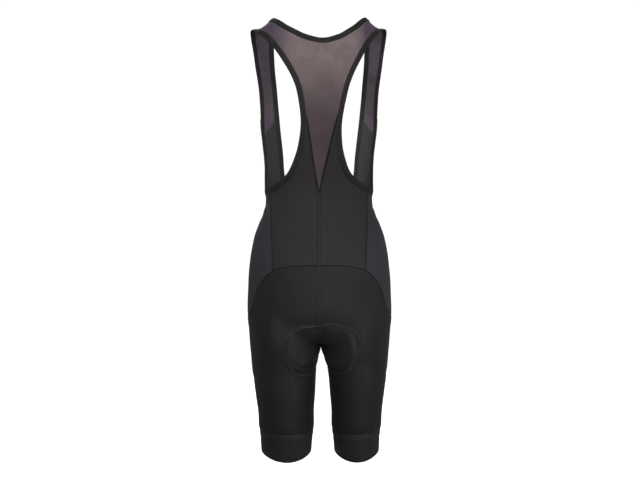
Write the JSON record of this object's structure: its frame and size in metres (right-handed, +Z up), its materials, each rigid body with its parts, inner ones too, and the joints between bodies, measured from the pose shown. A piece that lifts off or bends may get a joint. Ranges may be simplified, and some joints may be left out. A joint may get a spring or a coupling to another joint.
{
  "type": "cycling bib shorts",
  "caption": "Sleeveless cycling bib shorts in the form they take when worn, empty, with a sheer mesh upper back, long front straps, gripper cuffs and a seat pad.",
  "frame": {"origin": "midway between the crests of the two shoulder straps, where the wearer's shoulders carry the garment", "axes": "+Z up to the shoulders, +Y out of the wearer's back, +X to the wearer's left"},
  "size_m": [0.2816, 0.2031, 0.8598],
  "materials": {
    "mesh": "matte",
    "panel": "satin",
    "seat": "satin",
    "cuff": "satin",
    "binding": "matte",
    "pad": "matte"
  },
  "bodies": {
    "root": {"mesh_yoke": "mesh", "back_left": "panel", "back_right": "panel", "seat_left": "seat", "seat_right": "seat", "front_left": "panel", "front_right": "panel", "cuff_left": "cuff", "cuff_right": "cuff", "neck_binding": "binding", "armhole_binding_left": "binding", "armhole_binding_right": "binding", "chamois_pad": "pad"}
  },
  "joints": []
}
